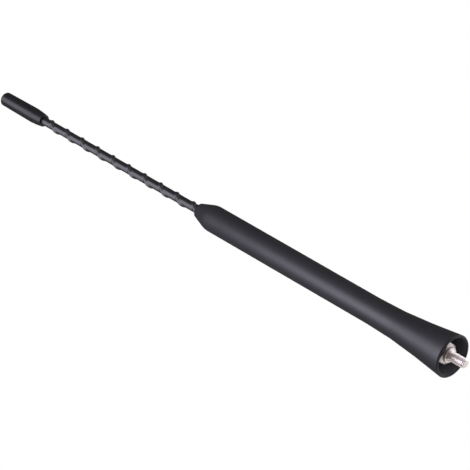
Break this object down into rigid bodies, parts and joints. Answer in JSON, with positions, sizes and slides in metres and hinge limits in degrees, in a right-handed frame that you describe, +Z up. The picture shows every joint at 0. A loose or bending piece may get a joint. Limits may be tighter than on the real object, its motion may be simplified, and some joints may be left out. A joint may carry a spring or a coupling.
{
  "type": "car mast aerial",
  "caption": "Short car roof mast: hollow flared boot with a long handle, a flexible whip with a helical rib, a tapered tip cap and a threaded stud that screws into the roof base.",
  "frame": {"origin": "centre of the boot's rim plane, on the mast's axis", "axes": "+Z up the mast towards the tip; the stud points along -Z; two flats of the stud's hexagon face along X"},
  "size_m": [0.0182, 0.0182, 0.2842],
  "materials": {
    "boot_black": "satin moulded, fine grain",
    "whip_black": "satin extruded",
    "plated_stud": "nickel plated, turned",
    "glass_fibre": "drawn glass-fibre rod",
    "former_white": "natural moulded plastic",
    "copper_wire": "enamelled copper wire"
  },
  "bodies": {
    "root": {"base_sleeve": "boot_black", "mount_stud": "plated_stud", "core_rod": "glass_fibre", "coil_former": "former_white", "loading_coil": "copper_wire", "radiator_wire": "copper_wire", "whip_sheath": "whip_black", "tip_cap": "boot_black"}
  },
  "joints": []
}
